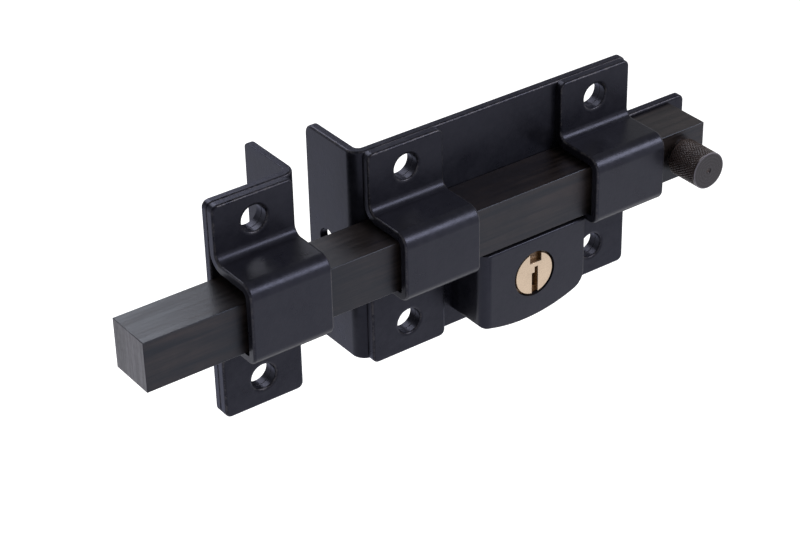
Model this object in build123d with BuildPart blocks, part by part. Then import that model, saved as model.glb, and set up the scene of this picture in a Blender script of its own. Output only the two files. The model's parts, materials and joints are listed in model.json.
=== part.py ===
"""A surface-mounted lock with a free square bar, its keeper beside it, in millimetres.

+X runs along the bar towards its knob, +Y runs into the door and +Z is up.
The origin is the middle of the four main screw holes, on the back of the base plate.
The bar is thrown into the keeper and the dog is down, as with the door shut and unlocked.
"""

from build123d import *
from math import cos, pi, sin
import os

os.makedirs("parts", exist_ok=True)

# Bent sheet
sheet = 3.175
bend_radius = 2.2
corner_radius = 2.5
rim_softening = 0.5

# Square bar and its knob
bar_side = 19.05
bar_length = 238.1
bar_height = 5.1
bar_back_gap = 0.1
bar_edge = 0.15
knob_radius = 7.1
knob_length = 15.8
knob_stop_gap = 4.5
knob_end_distance = 11.625
knob_neck_radius = 5.9
knob_neck_length = 1.2
knob_edge = 0.5
knob_dimple_radius = 1.3
spigot_radius = 4.0
spigot_length = 9.0
spigot_fit = 0.05

# Straps and the four main screws
strap_width = 31.75
strap_spacing = 84.0
strap_bottom = -43.4
screw_spacing = 62.6
screw_hole_radius = 4.85
bar_room_above = 0.95
bar_room_below = 0.15
bar_room_in_front = 1.7

# Base plate
plate_top = 41.0
plate_bottom = -42.9
plate_right_margin = 0.9
flange_depth = 26.8
flange_corner_radius = 4.0
flange_hole_radius = 4.25
flange_hole_depth = 15.4
flange_hole_z = -0.65
flange_gap = 0.1
tongue_right = 88.5
tongue_margin = 1.35
tongue_inner_radius = 1.5

# Keeper on the door frame
keeper_middle = -103.5
keeper_rise = 2.0
keeper_bottom = -40.3
keeper_room_above = 4.6
keeper_room_below = 0.6
keeper_flange_depth = 24.9
keeper_flange_overhang = 4.0
keeper_flange_corner_radius = 2.2

# Lock case
case_left_gap = 5.175
case_right_gap = 0.375
case_wall = 2.0
case_top_gap = 1.9
case_left_bottom = -35.8
case_right_bottom = -32.9
case_lowest = -38.95
case_left_corner = 1.6
case_right_corner = 7.0
case_left_radius = 4.2
case_edge_radius = 0.8

# Cylinder
plug_offset = 0.15
plug_z = -20.95
face_hole_radius = 9.0
plug_head_radius = 8.15
plug_head_thickness = 1.6
plug_head_recess = 0.25
plug_radius = 6.3
turning_clearance = 0.06
housing_wall = 2.6
housing_length = 11.1
pin_count = 4
pin_spacing = 2.5
pin_radius = 1.0
pin_clearance = 0.08
pin_block_width = 5.6
driver_length = 2.2
key_pin_lengths = (4.2, 5.2, 4.6, 5.6)
cap_thickness = 1.0
keyway_width = 2.8
keyway_offset = 0.3
keyway_top = 0.3
keyway_tip_width = 1.5
keyway_tip_top = 2.6
keyway_tip_offset = 0.9
face_notch_width = 5.2
face_notch_offset = 0.6
face_notch_floor = 4.3

# Screws from the back of the plate
screw_radius = 2.0
screw_head_radius = 4.0
screw_length = 12.0
screw_fit = 0.05
screw_slot_width = 1.0
screw_slot_depth = 0.9
boss_radius = 3.6
boss_inset = 4.4
boss_low_z = -29.5
lug_radius = 3.8
lug_wall_gap = 4.05

# Cam, dog and their return springs
cam_thickness = 2.3
cam_low_radius = 3.8
dog_lift = 4.2
cam_gap = 0.1
cam_flat = 2.1
spigot_round = 2.8
cam_screw_radius = 1.3
cam_screw_head_radius = 2.6
cam_screw_head_height = 1.3
dog_width = 8.0
dog_thickness = 4.5
dog_gap = 0.2
dog_back_gap = 0.6
dog_nose_gap = 0.3
dog_nose_width = 4.0
dog_nose_height = 0.8
dog_wing_span = 15.0
dog_wing_height = 1.5
dog_top_gap = 0.5
dog_slot_clearance = 0.35
notch_side_clearance = 0.35
notch_end_clearance = 0.7
spring_wire = 0.45
spring_radius = 1.25
spring_turns = 3.5
pin_spring_wire = 0.3
pin_spring_radius = 0.65
pin_spring_turns = 3.5
turn_steps = 10
wire_sides = 6
seat_gap = 0.05

# How near an edge lies to the place it is looked for
nearby = 0.01

# Places worked out from the sizes above
plate_front = -sheet
ear_front = plate_front - sheet
bar_back = plate_front - bar_back_gap
bar_front = bar_back - bar_side
bar_top = bar_height + bar_side / 2
bar_bottom = bar_height - bar_side / 2
strap_inside = bar_front - bar_room_in_front
strap_front = strap_inside - sheet
left_strap_x = -strap_spacing / 2
right_strap_x = strap_spacing / 2
plate_left = left_strap_x - strap_width / 2 - flange_gap - sheet
plate_right = right_strap_x + strap_width / 2 + plate_right_margin
plate_height = plate_top - plate_bottom
tongue_half = bar_side / 2 + tongue_margin
knob_x = right_strap_x + strap_width / 2 + knob_stop_gap + knob_radius
bar_left_end = knob_x + knob_end_distance - bar_length
bar_travel = plate_left - bar_left_end
case_depth = case_wall + housing_length + dog_gap + dog_thickness + dog_back_gap
case_front = plate_front - case_depth
case_inside = case_front + case_wall
case_top = bar_bottom - case_top_gap
case_left = left_strap_x + strap_width / 2 + case_left_gap
case_right = right_strap_x - strap_width / 2 - case_right_gap
case_middle = (case_left + case_right) / 2
plug_x = case_middle + plug_offset
plug_face = case_front + plug_head_recess
plug_shoulder = plug_face + plug_head_thickness
housing_back = case_inside + housing_length
housing_bore = plug_radius + turning_clearance
housing_top = case_top - case_wall - seat_gap - cap_thickness - plug_z
cam_front = housing_back + cam_gap
cam_back = cam_front + cam_thickness
dog_front = housing_back + dog_gap
dog_back = dog_front + dog_thickness
dog_top = bar_bottom - dog_top_gap
dog_bottom = plug_z + cam_low_radius + dog_nose_gap
wing_bottom = dog_bottom + dog_nose_height
wing_top = wing_bottom + dog_wing_height
spring_seat = case_top - case_wall
first_pin = case_inside + (housing_length - (pin_count - 1) * pin_spacing) / 2
pin_places = [first_pin + number * pin_spacing for number in range(pin_count)]
lug_spacing = case_right - case_left - 2 * (case_wall + lug_wall_gap + lug_radius)
lug_places = [plug_x - lug_spacing / 2, plug_x + lug_spacing / 2]
boss_high_z = case_top - boss_inset
boss_places = [
    (case_left + boss_inset, boss_high_z),
    (case_right - boss_inset, boss_high_z),
    (case_left + boss_inset, boss_low_z),
    (case_right - boss_inset, boss_low_z),
]


def save(piece, label):
    """Labels a finished piece and writes its STEP file."""
    piece.part.label = label
    export_step(piece.part, f"parts/{label}.step")


def facing_viewer(y):
    """The upright plane at y whose normal is -Y, with local axes X and Z."""
    return Plane.XZ.offset(-y)


def facing_door(y):
    """The upright plane at y whose normal is +Y, with local axes -X and Z."""
    return Plane(origin=(0, y, 0), x_dir=(-1, 0, 0), z_dir=(0, 1, 0))


def corners_at(piece, x):
    """The edges that run through the sheet at x, from the lowest up."""
    through = piece.edges().filter_by(Axis.Y)
    return through.filter_by_position(Axis.X, x - nearby, x + nearby).sort_by(Axis.Z)


# Base plate, one bent sheet with a flange for the door's edge and a tongue behind the bar
with BuildPart() as base_plate:
    with BuildSketch(Plane.XY.offset(plate_bottom)):
        with BuildLine():
            skin = FilletPolyline(
                (plate_left, flange_depth),
                (plate_left, plate_front),
                (tongue_right, plate_front),
                radius=bend_radius + sheet,
            )
            back = FilletPolyline(
                (tongue_right, 0),
                (plate_left + sheet, 0),
                (plate_left + sheet, flange_depth),
                radius=bend_radius,
            )
            Line(skin @ 1, back @ 0)
            Line(back @ 1, skin @ 0)
        make_face()
    extrude(amount=plate_height)
    with BuildSketch(facing_viewer(plate_front)):
        beside_tongue = tongue_right - plate_right
        upper_rest = plate_top - bar_height - tongue_half
        lower_rest = bar_height - tongue_half - plate_bottom
        with Locations((plate_right, plate_top)):
            Rectangle(beside_tongue, upper_rest, align=(Align.MIN, Align.MAX))
        with Locations((plate_right, plate_bottom)):
            Rectangle(beside_tongue, lower_rest, align=(Align.MIN, Align.MIN))
    extrude(amount=-sheet, mode=Mode.SUBTRACT)
    fillet(corners_at(base_plate, tongue_right), corner_radius)
    outer_corners = corners_at(base_plate, plate_right)
    fillet([outer_corners[0], outer_corners[-1]], corner_radius)
    fillet(corners_at(base_plate, plate_right), tongue_inner_radius)
    fillet(base_plate.edges().filter_by(Axis.X).group_by(Axis.Y)[-1], flange_corner_radius)
    with Locations(facing_viewer(plate_front)):
        with GridLocations(strap_spacing, screw_spacing, 2, 2):
            Hole(screw_hole_radius, depth=sheet)
    with Locations(Plane(origin=(plate_left, flange_hole_depth, flange_hole_z), z_dir=(-1, 0, 0))):
        Hole(flange_hole_radius, depth=sheet)
    with Locations(facing_door(0)):
        with Locations(*[(-x, z) for x, z in boss_places], *[(-x, plug_z) for x in lug_places]):
            CounterSinkHole(screw_radius + screw_fit, screw_head_radius + screw_fit, depth=sheet)
save(base_plate, "base_plate")


def bent_strap(label, middle_x, rise, bottom, room_above, room_below):
    """A hat-shaped strap, set higher than the lock by rise, with the given room around the bar."""
    opening_top = bar_top + room_above
    opening_bottom = bar_bottom - room_below
    top = plate_top + rise
    with BuildPart() as strap:
        with BuildSketch(Plane.YZ.offset(middle_x - strap_width / 2)):
            with BuildLine():
                outer = FilletPolyline(
                    (ear_front, top),
                    (ear_front, opening_top + sheet),
                    (strap_front, opening_top + sheet),
                    (strap_front, opening_bottom - sheet),
                    (ear_front, opening_bottom - sheet),
                    (ear_front, bottom),
                    radius=[
                        bend_radius,
                        bend_radius + sheet,
                        bend_radius + sheet,
                        bend_radius,
                    ],
                )
                inner = FilletPolyline(
                    (plate_front, bottom),
                    (plate_front, opening_bottom),
                    (strap_inside, opening_bottom),
                    (strap_inside, opening_top),
                    (plate_front, opening_top),
                    (plate_front, top),
                    radius=[
                        bend_radius + sheet,
                        bend_radius,
                        bend_radius,
                        bend_radius + sheet,
                    ],
                )
                Line(outer @ 1, inner @ 0)
                Line(inner @ 1, outer @ 0)
            make_face()
        extrude(amount=strap_width)
        ends = strap.edges().filter_by(Axis.Y)
        fillet(ends.group_by(Axis.Z)[0] + ends.group_by(Axis.Z)[-1], corner_radius)
        with Locations(facing_viewer(ear_front)):
            with Locations((middle_x, rise)):
                with GridLocations(strap_width, screw_spacing, 1, 2):
                    Hole(screw_hole_radius, depth=sheet)
        circles = strap.edges().filter_by(GeomType.CIRCLE)
        rims = circles.filter_by(lambda edge: abs(edge.radius - screw_hole_radius) < nearby)
        chamfer(rims.group_by(Axis.Y)[0], rim_softening)
    save(strap, label)


bent_strap("left_strap", left_strap_x, 0, strap_bottom, bar_room_above, bar_room_below)
bent_strap("right_strap", right_strap_x, 0, strap_bottom, bar_room_above, bar_room_below)
bent_strap("keeper_strap", keeper_middle, keeper_rise, keeper_bottom, keeper_room_above, keeper_room_below)

# Keeper plate, bent back at its right side onto the edge of the frame
keeper_left = keeper_middle - strap_width / 2
keeper_right = keeper_middle + strap_width / 2 + keeper_flange_overhang
with BuildPart() as keeper_plate:
    with BuildSketch(Plane.XY.offset(keeper_bottom)):
        with BuildLine():
            skin = FilletPolyline(
                (keeper_left, plate_front),
                (keeper_right, plate_front),
                (keeper_right, keeper_flange_depth),
                radius=bend_radius + sheet,
            )
            back = FilletPolyline(
                (keeper_right - sheet, keeper_flange_depth),
                (keeper_right - sheet, 0),
                (keeper_left, 0),
                radius=bend_radius,
            )
            Line(skin @ 1, back @ 0)
            Line(back @ 1, skin @ 0)
        make_face()
    extrude(amount=plate_top + keeper_rise - keeper_bottom)
    fillet(keeper_plate.edges().filter_by(Axis.Y).group_by(Axis.X)[0], corner_radius)
    flange_end = keeper_plate.edges().filter_by(Axis.X).group_by(Axis.Y)[-1]
    fillet(flange_end, keeper_flange_corner_radius)
    with Locations(facing_viewer(plate_front)):
        with Locations((keeper_middle, keeper_rise)):
            with GridLocations(strap_width, screw_spacing, 1, 2):
                Hole(screw_hole_radius, depth=sheet)
    flange_hole = (keeper_right, flange_hole_depth, flange_hole_z + keeper_rise)
    with Locations(Plane(origin=flange_hole, z_dir=(1, 0, 0))):
        Hole(flange_hole_radius, depth=sheet)
save(keeper_plate, "keeper_plate")


def case_body(inset, depth, edge_radius, left_radius):
    """The case's outline, drawn in by inset, run forward from the plate with its front edges rounded."""
    with BuildPart(mode=Mode.PRIVATE) as body:
        with BuildSketch(facing_viewer(plate_front)) as outline:
            with BuildLine():
                Polyline(
                    (case_left, case_left_bottom),
                    (case_left, case_top),
                    (case_right, case_top),
                    (case_right, case_right_bottom),
                )
                ThreePointArc(
                    (case_right, case_right_bottom),
                    (case_middle, case_lowest),
                    (case_left, case_left_bottom),
                )
            make_face()
            fillet(outline.vertices().group_by(Axis.X)[0].sort_by(Axis.Y)[0], case_left_corner)
            fillet(outline.vertices().group_by(Axis.X)[-1].sort_by(Axis.Y)[0], case_right_corner)
            if inset:
                offset(amount=-inset, mode=Mode.REPLACE)
        extrude(amount=depth)
        if edge_radius:
            fillet(body.faces().sort_by(Axis.Y)[0].edges(), edge_radius)
        with BuildSketch(Plane.XY) as plan:
            with Locations((case_left + inset, plate_front)):
                Rectangle(case_right - case_left - 2 * inset, depth, align=(Align.MIN, Align.MAX))
            fillet(plan.vertices().group_by(Axis.X)[0].sort_by(Axis.Y)[0], left_radius)
        extrude(amount=plate_bottom, both=True, mode=Mode.INTERSECT)
    return body.part


# Lock case, a pressed cover with a bowed lower edge, open at the back
with BuildPart() as lock_case:
    add(case_body(0, case_depth, case_edge_radius, case_left_radius))
    add(case_body(case_wall, case_depth - case_wall, 0, case_left_radius - case_wall), mode=Mode.SUBTRACT)
    with BuildSketch(facing_viewer(plate_front)):
        with Locations(*boss_places):
            Circle(boss_radius)
    extrude(amount=case_depth - case_wall)
    with Locations(facing_door(plate_front)):
        with Locations(*[(-x, z) for x, z in boss_places]):
            Hole(screw_radius + screw_fit, depth=screw_length - sheet + screw_fit)
    with Locations(facing_viewer(case_front)):
        with Locations((plug_x, plug_z)):
            Hole(face_hole_radius, depth=case_wall)
    with BuildSketch(Plane.XY.offset(case_top)):
        with Locations((plug_x, (dog_front + dog_back) / 2)):
            Rectangle(dog_width + 2 * dog_slot_clearance, dog_thickness + 2 * dog_slot_clearance)
    extrude(amount=-case_wall, mode=Mode.SUBTRACT)
save(lock_case, "lock_case")

# Cylinder housing: a barrel with the pin block above it and a screw lug on each side
with BuildPart() as cylinder_housing:
    with BuildSketch(facing_viewer(case_inside)):
        with Locations((plug_x, plug_z)):
            Circle(housing_bore + housing_wall)
            Rectangle(pin_block_width, housing_top, align=(Align.CENTER, Align.MIN))
            Rectangle(lug_spacing, 2 * housing_wall)
    extrude(amount=-housing_length)
    with BuildSketch(facing_viewer(case_inside)):
        with Locations(*[(x, plug_z) for x in lug_places]):
            Circle(lug_radius)
    extrude(amount=-(plate_front - case_inside))
    with Locations(facing_viewer(case_inside)):
        with Locations((plug_x, plug_z)):
            Hole(housing_bore, depth=housing_length)
    with Locations(facing_door(plate_front)):
        with Locations(*[(-x, plug_z) for x in lug_places]):
            Hole(screw_radius + screw_fit, depth=screw_length - sheet + screw_fit)
    with Locations(Plane.XY.offset(plug_z + housing_top)):
        with Locations(*[(plug_x, y) for y in pin_places]):
            Hole(pin_radius + pin_clearance, depth=housing_top)
save(cylinder_housing, "cylinder_housing")

# Cap that closes the pin block, under the top of the case
with BuildPart() as chamber_cap:
    with BuildSketch(Plane.XY.offset(plug_z + housing_top)):
        with Locations((plug_x, case_inside + housing_length / 2)):
            Rectangle(pin_block_width, housing_length)
    extrude(amount=cap_thickness)
save(chamber_cap, "chamber_cap")

# Drivers above the shear line, one for each chamber
with BuildPart() as driver_pins:
    with BuildSketch(Plane.XY.offset(plug_z + housing_bore + seat_gap)):
        with Locations(*[(plug_x, y) for y in pin_places]):
            Circle(pin_radius)
    extrude(amount=driver_length)
save(driver_pins, "driver_pins")


def coil(centre_x, centre_y, bottom, top, radius, wire, turns):
    """A compression spring between two heights, its wire and its turns drawn with few flats."""
    steps = round(turns * turn_steps)
    rise = (top - bottom - wire) / steps
    bends = []
    for step in range(steps + 1):
        angle = 2 * pi * step / turn_steps
        height = bottom + wire / 2 + rise * step
        bends.append((centre_x + radius * cos(angle), centre_y + radius * sin(angle), height))
    with BuildPart() as spring:
        with BuildLine() as path:
            Polyline(*bends)
        with BuildSketch(Plane(origin=path.line @ 0, z_dir=path.line % 0)):
            RegularPolygon(wire / 2, wire_sides)
        sweep(transition=Transition.RIGHT)
    return spring.part


driver_tops = plug_z + housing_bore + seat_gap + driver_length
with BuildPart() as pin_springs:
    for place in pin_places:
        add(coil(plug_x, place, driver_tops + seat_gap, plug_z + housing_top - seat_gap,
                 pin_spring_radius, pin_spring_wire, pin_spring_turns))
save(pin_springs, "pin_springs")

# Plug: a face disc, a barrel and a flatted spigot that drives the cam
with BuildPart() as key_plug:
    with BuildSketch(facing_viewer(plug_face)):
        with Locations((plug_x, plug_z)):
            Circle(plug_head_radius)
    extrude(amount=-plug_head_thickness)
    with BuildSketch(facing_viewer(plug_shoulder)):
        with Locations((plug_x, plug_z)):
            Circle(plug_radius)
    extrude(amount=-(housing_back - plug_shoulder))
    with BuildSketch(facing_viewer(housing_back)):
        with Locations((plug_x, plug_z)):
            Circle(spigot_round)
            Rectangle(2 * spigot_round, 2 * cam_flat, mode=Mode.INTERSECT)
    extrude(amount=-(cam_back - housing_back))
    with BuildSketch(facing_viewer(plug_face)):
        with Locations((plug_x + keyway_offset, plug_z + keyway_top)):
            Rectangle(keyway_width, plug_head_radius + keyway_top, align=(Align.CENTER, Align.MAX))
        with Locations((plug_x + keyway_tip_offset, plug_z + keyway_tip_top)):
            Rectangle(keyway_tip_width, keyway_tip_top, align=(Align.CENTER, Align.MAX))
    extrude(amount=-(housing_back - plug_face), mode=Mode.SUBTRACT)
    with BuildSketch(facing_viewer(plug_face)):
        with Locations((plug_x + face_notch_offset, plug_z + face_notch_floor)):
            Rectangle(face_notch_width, plug_head_radius, align=(Align.CENTER, Align.MIN))
    extrude(amount=-plug_head_thickness, mode=Mode.SUBTRACT)
    with Locations(Plane.XY.offset(plug_z + plug_radius)):
        with Locations(*[(plug_x, y) for y in pin_places]):
            Hole(pin_radius + pin_clearance, depth=plug_radius)
    with Locations(facing_door(cam_back)):
        with Locations((-plug_x, plug_z)):
            Hole(cam_screw_radius + screw_fit, depth=cam_back - housing_back)
save(key_plug, "key_plug")

# Key pins, flush with the plug as the right key would hold them
shear_line = plug_z + (plug_radius**2 - pin_radius**2) ** 0.5 - seat_gap
with BuildPart() as key_pins:
    for place, length in zip(pin_places, key_pin_lengths):
        with BuildSketch(Plane.XY.offset(shear_line)):
            with Locations((plug_x, place)):
                Circle(pin_radius)
        extrude(amount=-length)
save(key_pins, "key_pins")


def cam_point(share, side):
    """A point of the cam's edge: the radius grows evenly from the low point up to the far point."""
    radius = cam_low_radius + dog_lift * share
    angle = pi / 2 - side * pi * share
    return (plug_x + radius * cos(angle), plug_z + radius * sin(angle))


# Heart-shaped cam, low point up, that lifts the dog evenly over half a turn
cam_steps = 6
with BuildPart() as cam:
    with BuildSketch(facing_viewer(cam_front)):
        with BuildLine():
            Spline(*[cam_point(step / cam_steps, 1) for step in range(cam_steps + 1)])
            Spline(*[cam_point(step / cam_steps, -1) for step in range(cam_steps + 1)])
        make_face()
        with Locations((plug_x, plug_z)):
            Rectangle(2 * (spigot_round + seat_gap), 2 * (cam_flat + seat_gap), mode=Mode.SUBTRACT)
    extrude(amount=-cam_thickness)
save(cam, "cam")

# Screw that holds the cam on the plug
with BuildPart() as cam_screw:
    with BuildSketch(facing_door(cam_back)):
        with Locations((-plug_x, plug_z)):
            Circle(cam_screw_head_radius)
    extrude(amount=cam_screw_head_height)
    with BuildSketch(facing_viewer(cam_back)):
        with Locations((plug_x, plug_z)):
            Circle(cam_screw_radius)
    extrude(amount=cam_back - housing_back)
    with BuildSketch(facing_viewer(cam_back + cam_screw_head_height)):
        with Locations((plug_x, plug_z)):
            Rectangle(2 * cam_screw_head_radius, screw_slot_width)
    extrude(amount=screw_slot_depth, mode=Mode.SUBTRACT)
save(cam_screw, "cam_screw")

# Locking dog: a nose on the cam, two wings for the springs and a post that enters the bar
with BuildPart() as locking_dog:
    with BuildSketch(facing_viewer(dog_front)):
        with Locations((plug_x, dog_top)):
            Rectangle(dog_width, dog_top - wing_bottom, align=(Align.CENTER, Align.MAX))
        with Locations((plug_x, wing_bottom)):
            Rectangle(dog_wing_span, dog_wing_height, align=(Align.CENTER, Align.MIN))
        with Locations((plug_x, dog_bottom + dog_nose_width / 2)):
            Circle(dog_nose_width / 2)
    extrude(amount=-dog_thickness)
    chamfer(locking_dog.faces().sort_by(Axis.Z)[-1].edges(), bar_edge)
save(locking_dog, "locking_dog")

with BuildPart() as dog_springs:
    wing_middle = (dog_width + dog_wing_span) / 4
    for side in (-1, 1):
        add(coil(plug_x + side * wing_middle, (dog_front + dog_back) / 2, wing_top + seat_gap,
                 spring_seat - seat_gap, spring_radius, spring_wire, spring_turns))
save(dog_springs, "dog_springs")


def back_screws(label, places):
    """Countersunk slotted screws, heads flush with the back of the base plate."""
    with BuildPart() as screws:
        for x, z in places:
            with BuildSketch(Plane(origin=(x, 0, z), x_dir=(1, 0, 0), z_dir=(0, 0, 1))):
                with BuildLine():
                    Polyline(
                        (0, 0),
                        (screw_head_radius, 0),
                        (screw_radius, screw_radius - screw_head_radius),
                        (screw_radius, -screw_length),
                        (0, -screw_length),
                        close=True,
                    )
                make_face()
            revolve(axis=Axis((x, 0, z), (0, 1, 0)))
        with BuildSketch(facing_viewer(0)):
            with Locations(*places):
                Rectangle(2 * screw_head_radius, screw_slot_width)
        extrude(amount=screw_slot_depth, mode=Mode.SUBTRACT)
    save(screws, label)


back_screws("case_screws", boss_places)
back_screws("cylinder_screws", [(x, plug_z) for x in lug_places])

# Square bar with a pocket for the dog when thrown and another when drawn back
with BuildPart() as bar:
    with BuildSketch(Plane.YZ.offset(bar_left_end)):
        with Locations(((bar_front + bar_back) / 2, bar_height)):
            Rectangle(bar_side, bar_side)
    extrude(amount=bar_length)
    chamfer(bar.edges(), bar_edge)
    pocket_depth = dog_lift - dog_top_gap + notch_end_clearance
    pocket_front = dog_front - notch_end_clearance
    thrown_left = plug_x - dog_width / 2 - notch_side_clearance
    thrown_right = plug_x + dog_width / 2 + notch_side_clearance
    with BuildSketch(Plane.XY.offset(bar_bottom)):
        with Locations((thrown_left, pocket_front)):
            Rectangle(thrown_right - thrown_left + knob_stop_gap, bar_back - pocket_front,
                      align=(Align.MIN, Align.MIN))
        with Locations((thrown_left - bar_travel, pocket_front)):
            Rectangle(thrown_right - thrown_left, bar_back - pocket_front,
                      align=(Align.MIN, Align.MIN))
    extrude(amount=pocket_depth, mode=Mode.SUBTRACT)
    with Locations(facing_viewer(bar_front)):
        with Locations((knob_x, bar_height)):
            Hole(spigot_radius + spigot_fit, depth=spigot_length + spigot_fit)
save(bar, "bar")

# Round knob turned from bar stock, with a spigot pressed into the bar
with BuildPart() as knob:
    with BuildSketch(Plane(origin=(knob_x, bar_front, bar_height), x_dir=(1, 0, 0), z_dir=(0, 0, 1))):
        with BuildLine():
            Polyline(
                (0, spigot_length),
                (spigot_radius, spigot_length),
                (spigot_radius, 0),
                (knob_neck_radius, 0),
                (knob_neck_radius, -knob_neck_length),
                (knob_radius, -knob_neck_length - (knob_radius - knob_neck_radius)),
                (knob_radius, knob_edge - knob_length),
                (knob_radius - knob_edge, -knob_length),
                (knob_dimple_radius, -knob_length),
                (0, knob_dimple_radius / 2 - knob_length),
                close=True,
            )
        make_face()
    revolve(axis=Axis((knob_x, bar_front, bar_height), (0, 1, 0)))
save(knob, "knob")
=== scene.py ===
"""The looks of a surface-mounted bar lock with its keeper, laid out as an add-on.

Lengths are in metres in the part's frame: +X along the bar, +Y into the door, +Z up.
"""

import json
from math import pi, radians

import bmesh
import bpy
import numpy as np
from bpy.props import FloatProperty, FloatVectorProperty, PointerProperty
from mathutils import Matrix, Vector
from mathutils.geometry import delaunay_2d_cdt


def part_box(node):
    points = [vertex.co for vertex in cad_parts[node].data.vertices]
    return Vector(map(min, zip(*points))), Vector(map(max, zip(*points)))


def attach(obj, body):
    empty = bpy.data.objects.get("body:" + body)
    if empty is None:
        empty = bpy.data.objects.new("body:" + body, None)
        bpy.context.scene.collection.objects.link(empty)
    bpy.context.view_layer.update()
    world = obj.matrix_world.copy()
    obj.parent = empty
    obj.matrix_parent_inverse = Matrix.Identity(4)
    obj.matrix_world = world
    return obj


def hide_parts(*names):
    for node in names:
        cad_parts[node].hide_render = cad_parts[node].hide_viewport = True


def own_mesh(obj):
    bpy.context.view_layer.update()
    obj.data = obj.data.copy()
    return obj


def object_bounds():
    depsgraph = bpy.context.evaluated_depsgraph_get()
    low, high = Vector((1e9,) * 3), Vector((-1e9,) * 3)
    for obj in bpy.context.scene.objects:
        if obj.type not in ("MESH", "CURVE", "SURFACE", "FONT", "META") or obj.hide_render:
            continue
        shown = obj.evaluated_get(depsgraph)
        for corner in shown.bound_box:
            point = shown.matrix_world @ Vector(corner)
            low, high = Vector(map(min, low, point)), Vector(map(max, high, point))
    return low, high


bl_info = {
    "name": "Bar lock looks",
    "version": (1, 0, 0),
    "blender": (4, 5, 0),
    "location": "View3D > Sidebar > Bar lock",
    "description": "Dresses a surface-mounted bar lock and its keeper",
    "category": "Object",
}

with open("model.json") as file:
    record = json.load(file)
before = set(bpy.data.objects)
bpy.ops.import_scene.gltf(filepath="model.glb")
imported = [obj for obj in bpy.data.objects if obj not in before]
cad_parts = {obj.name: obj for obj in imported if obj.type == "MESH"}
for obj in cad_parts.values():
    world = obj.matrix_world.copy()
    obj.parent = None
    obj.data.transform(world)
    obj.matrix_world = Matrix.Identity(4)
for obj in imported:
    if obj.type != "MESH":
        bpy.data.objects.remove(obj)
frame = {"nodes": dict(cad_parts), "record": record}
cad_low, cad_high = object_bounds()

MM = 0.001
# How finely a sheet is divided: in its bends, on its flats, over its rims, round its holes
# and round its corners
ARC_STEP = radians(6)
FLAT_STEP = 4 * MM
RIM_STEPS = 4
HOLE_STEPS = 48
CORNER_STEPS = 8
# Width of the strip inside an edge where a flat face has no points of its own
EDGE_STRIP = 0.3 * MM
# How finely the knob is divided: columns and rows for each groove of its knurling
GROOVE_COLUMNS = 7
GROOVE_ROWS = 9
# Points of a CAD mesh that lie nearer than this are one
SAME_POINT = 0.002 * MM
# An edge that turns further than this stays sharp: on a CAD mesh and on the knob
SHARP_ANGLE = radians(32)
KNOB_SHARP_ANGLE = radians(50)
# Rounding of the bar and the plug, along the edges that turn further than the angle
BAR_ROUNDING = 0.08 * MM
PLUG_ROUNDING = 0.1 * MM
ROUNDED_ANGLE = radians(40)


# Sizes and colours that a user would change
def length(name, description, millimetres):
    """A length property whose default is given in millimetres."""
    return FloatProperty(name=name, description=description, default=millimetres * MM,
                         unit="LENGTH", precision=5)


def colour(name, description, default):
    """A colour property."""
    return FloatVectorProperty(name=name, description=description, default=default,
                               subtype="COLOR", size=3, min=0, max=1)


def metres(name, description, default):
    """A place or a size in metres, with as many numbers as its default has."""
    return FloatVectorProperty(name=name, description=description, default=default,
                               size=len(default), unit="LENGTH")


def angle(name, description, degrees):
    """An angle property whose default is given in degrees."""
    return FloatProperty(name=name, description=description, default=radians(degrees),
                         subtype="ANGLE")


def amount(name, description, default, unit="NONE"):
    """A strength or a power, nought or more."""
    return FloatProperty(name=name, description=description, default=default, min=0, unit=unit)


class SheetSizes(bpy.types.PropertyGroup):
    """Sizes of the bent sheets that their boxes don't give."""

    thickness: length("Thickness", "Thickness of every sheet", 3.175)
    bend: length("Bend", "Inside radius of each bend", 2.2)
    ear_bend: length("Ear bend", "Inside radius of the bends at a strap's ears", 3.2)
    lower_bend: length("Lower bend", "Inside radius of the bend below the bar", 0.8)
    corner: length("Corner", "Radius of a sheet's corners", 2.5)
    flange_corner: length("Flange corner", "Radius of the lock flange's free corners", 4.0)
    keeper_corner: length("Keeper corner", "Radius of the keeper flange's free corners", 2.2)
    soft_edge: length("Soft edge", "Width of the rounding along a front edge", 1.0)
    soft_depth: length("Soft edge depth", "Depth of that rounding", 0.9)
    back_edge: length("Back edge", "Width of the rounding along a back edge", 0.2)
    hole: length("Screw hole", "Radius of the main screw holes", 4.85)
    hole_spacing: length("Hole spacing", "Height between a strap's two holes", 62.6)
    lip_width: length("Lip width", "Width of the dimple round a strap's hole", 1.3)
    lip_depth: length("Lip depth", "Depth of the dimple round a strap's hole", 0.75)
    flange_hole: length("Flange hole", "Radius of the hole in each flange", 4.25)
    flange_hole_depth: length("Flange hole depth", "How far behind the face it lies", 15.4)
    flange_hole_z: length("Flange hole height", "Its height above the part's origin", -0.65)
    room_above: length("Room above", "Gap between the bar and the lock's straps above it", 0.95)
    room_below: length("Room below", "Gap between the bar and the lock's straps below it", 0.15)
    keeper_room_above: length("Keeper room above", "Gap above the bar in the keeper", 4.6)
    keeper_room_below: length("Keeper room below", "Gap below the bar in the keeper", 0.6)
    right_margin: length("Right margin", "Plate that shows right of the right strap", 0.9)
    tongue_margin: length("Tongue margin", "Tongue above and below the bar", 1.35)
    tongue_corner: length("Tongue corner", "Radius inside the tongue's root", 1.5)
    back_screw: length("Back screw", "Radius of a screw's way through the plate", 2.05)
    back_screw_head: length("Back screw head", "Radius of that screw's head", 4.0)
    back_screw_sink: length("Screw sink", "Depth of the seat of its head", 2.0)


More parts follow.
